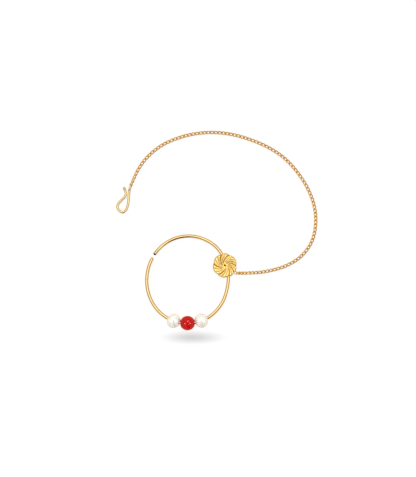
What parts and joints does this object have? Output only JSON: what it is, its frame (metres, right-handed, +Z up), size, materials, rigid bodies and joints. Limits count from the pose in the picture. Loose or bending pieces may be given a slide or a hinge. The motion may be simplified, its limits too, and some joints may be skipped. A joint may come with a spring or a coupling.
{
  "type": "nose ring with hair chain",
  "caption": "Open gold wire nose hoop with pearl and red beads, a soldered pinwheel flower and a fine curb chain that ends in a hair hook.",
  "frame": {"origin": "middle of the jewel's footprint, on the surface it lies on", "axes": "+Z up from the surface; the hoop's beads are towards -Y, the chain starts towards +X and comes round over +Y"},
  "size_m": [0.0604, 0.06, 0.0044],
  "materials": {
    "gold": "polished wire, satin cast flower",
    "pale_gold": "polished",
    "pearl": "nacre",
    "red_coral": "polished"
  },
  "bodies": {
    "root": {"hoop_with_flower": "gold", "bead_pearl_left": "pearl", "bead_red": "red_coral", "bead_pearl_right": "pearl", "chain": "gold", "chain_hook": "pale_gold"}
  },
  "joints": []
}
